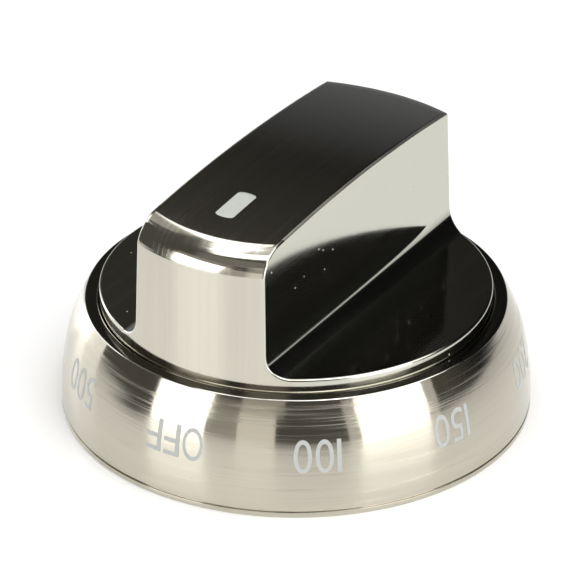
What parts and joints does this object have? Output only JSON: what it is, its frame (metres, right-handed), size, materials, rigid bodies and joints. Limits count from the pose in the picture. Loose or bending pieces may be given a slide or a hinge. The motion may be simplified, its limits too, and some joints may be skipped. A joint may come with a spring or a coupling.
{
  "type": "oven control knob",
  "caption": "Round oven control knob with a raised bar grip, a pointer mark, a flared dial skirt and a moulded hub that pushes onto a D shaft.",
  "frame": {"origin": "on the knob's axis, in the plane of the skirt's foot, which faces the panel", "axes": "+Z along the shaft and out of the panel, -Y the way the pointer looks, +X across the grip to the pointer's left seen from the front"},
  "size_m": [0.0604, 0.0604, 0.0342],
  "materials": {
    "polished_body": "warm bright plating, brushed along the top and polished on the sides",
    "brushed_skirt": "brushed round the axis",
    "pale_enamel": "pale grey filling, flush and satin",
    "black_moulding": "black moulded plastic",
    "spring_steel": "bright rolled strip",
    "screw_steel": "bright zinc plate"
  },
  "bodies": {
    "root": {"grip_body": "polished_body", "dial_skirt": "brushed_skirt", "pointer_mark": "pale_enamel", "hub_insert": "black_moulding", "shaft_spring": "spring_steel", "insert_screws": "screw_steel"}
  },
  "joints": []
}
